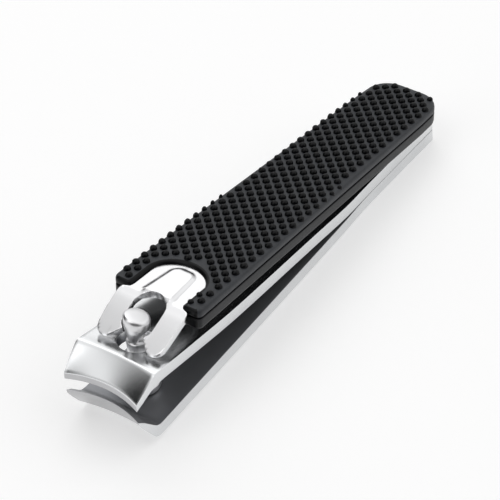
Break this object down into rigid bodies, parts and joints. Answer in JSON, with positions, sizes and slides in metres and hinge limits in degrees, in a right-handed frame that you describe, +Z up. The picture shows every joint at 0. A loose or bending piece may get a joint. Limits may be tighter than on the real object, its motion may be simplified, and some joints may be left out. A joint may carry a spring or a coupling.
{
  "type": "nail clipper",
  "caption": "Lever-type nail clipper: two sprung steel arms with curved cutting edges, a headed post, and a forked lever with a nubbed rubber grip, folded flat.",
  "frame": {"origin": "centre of the post's foot, on the face it rests on", "axes": "+X from the post towards the tail, cutting edges at -X; +Y to the left side; +Z up along the post"},
  "size_m": [0.0868, 0.0166, 0.0182],
  "materials": {
    "satin_steel": "satin ground, bright edges",
    "inner_steel": "satin",
    "pressed_steel": "satin pressed sheet",
    "turned_steel": "turned, lightly polished",
    "grip_rubber": "matt, staggered raised nubs",
    "grip_plastic": "smooth matt"
  },
  "bodies": {
    "frame": {"lower_arm": "inner_steel", "upper_arm_tail": "satin_steel", "tail_rivet_1": "turned_steel", "tail_rivet_2": "turned_steel"},
    "upper_jaw": {"upper_arm": "satin_steel"},
    "swivel_post": {"post": "turned_steel"},
    "lever": {"lever_plate": "pressed_steel", "grip_pad": "grip_rubber", "grip_carrier": "grip_plastic"}
  },
  "joints": [
    {"name": "jaw_flex", "type": "hinge", "parent": "frame", "child": "upper_jaw", "pos_m": [0.0482, 0, 0.0046], "axis": [0, -1, 0], "range_deg": [0, 2.2], "stiffness_Nm_per_rad": 30},
    {"name": "post_swivel", "type": "hinge", "parent": "frame", "child": "swivel_post", "pos_m": [0, 0, 0], "axis": [0, 0, 1], "continuous": true},
    {"name": "lever_pitch", "type": "hinge", "parent": "swivel_post", "child": "lever", "pos_m": [-0.00125, 0, 0.01445], "axis": [0, -1, 0], "range_deg": [0, 150]}
  ]
}
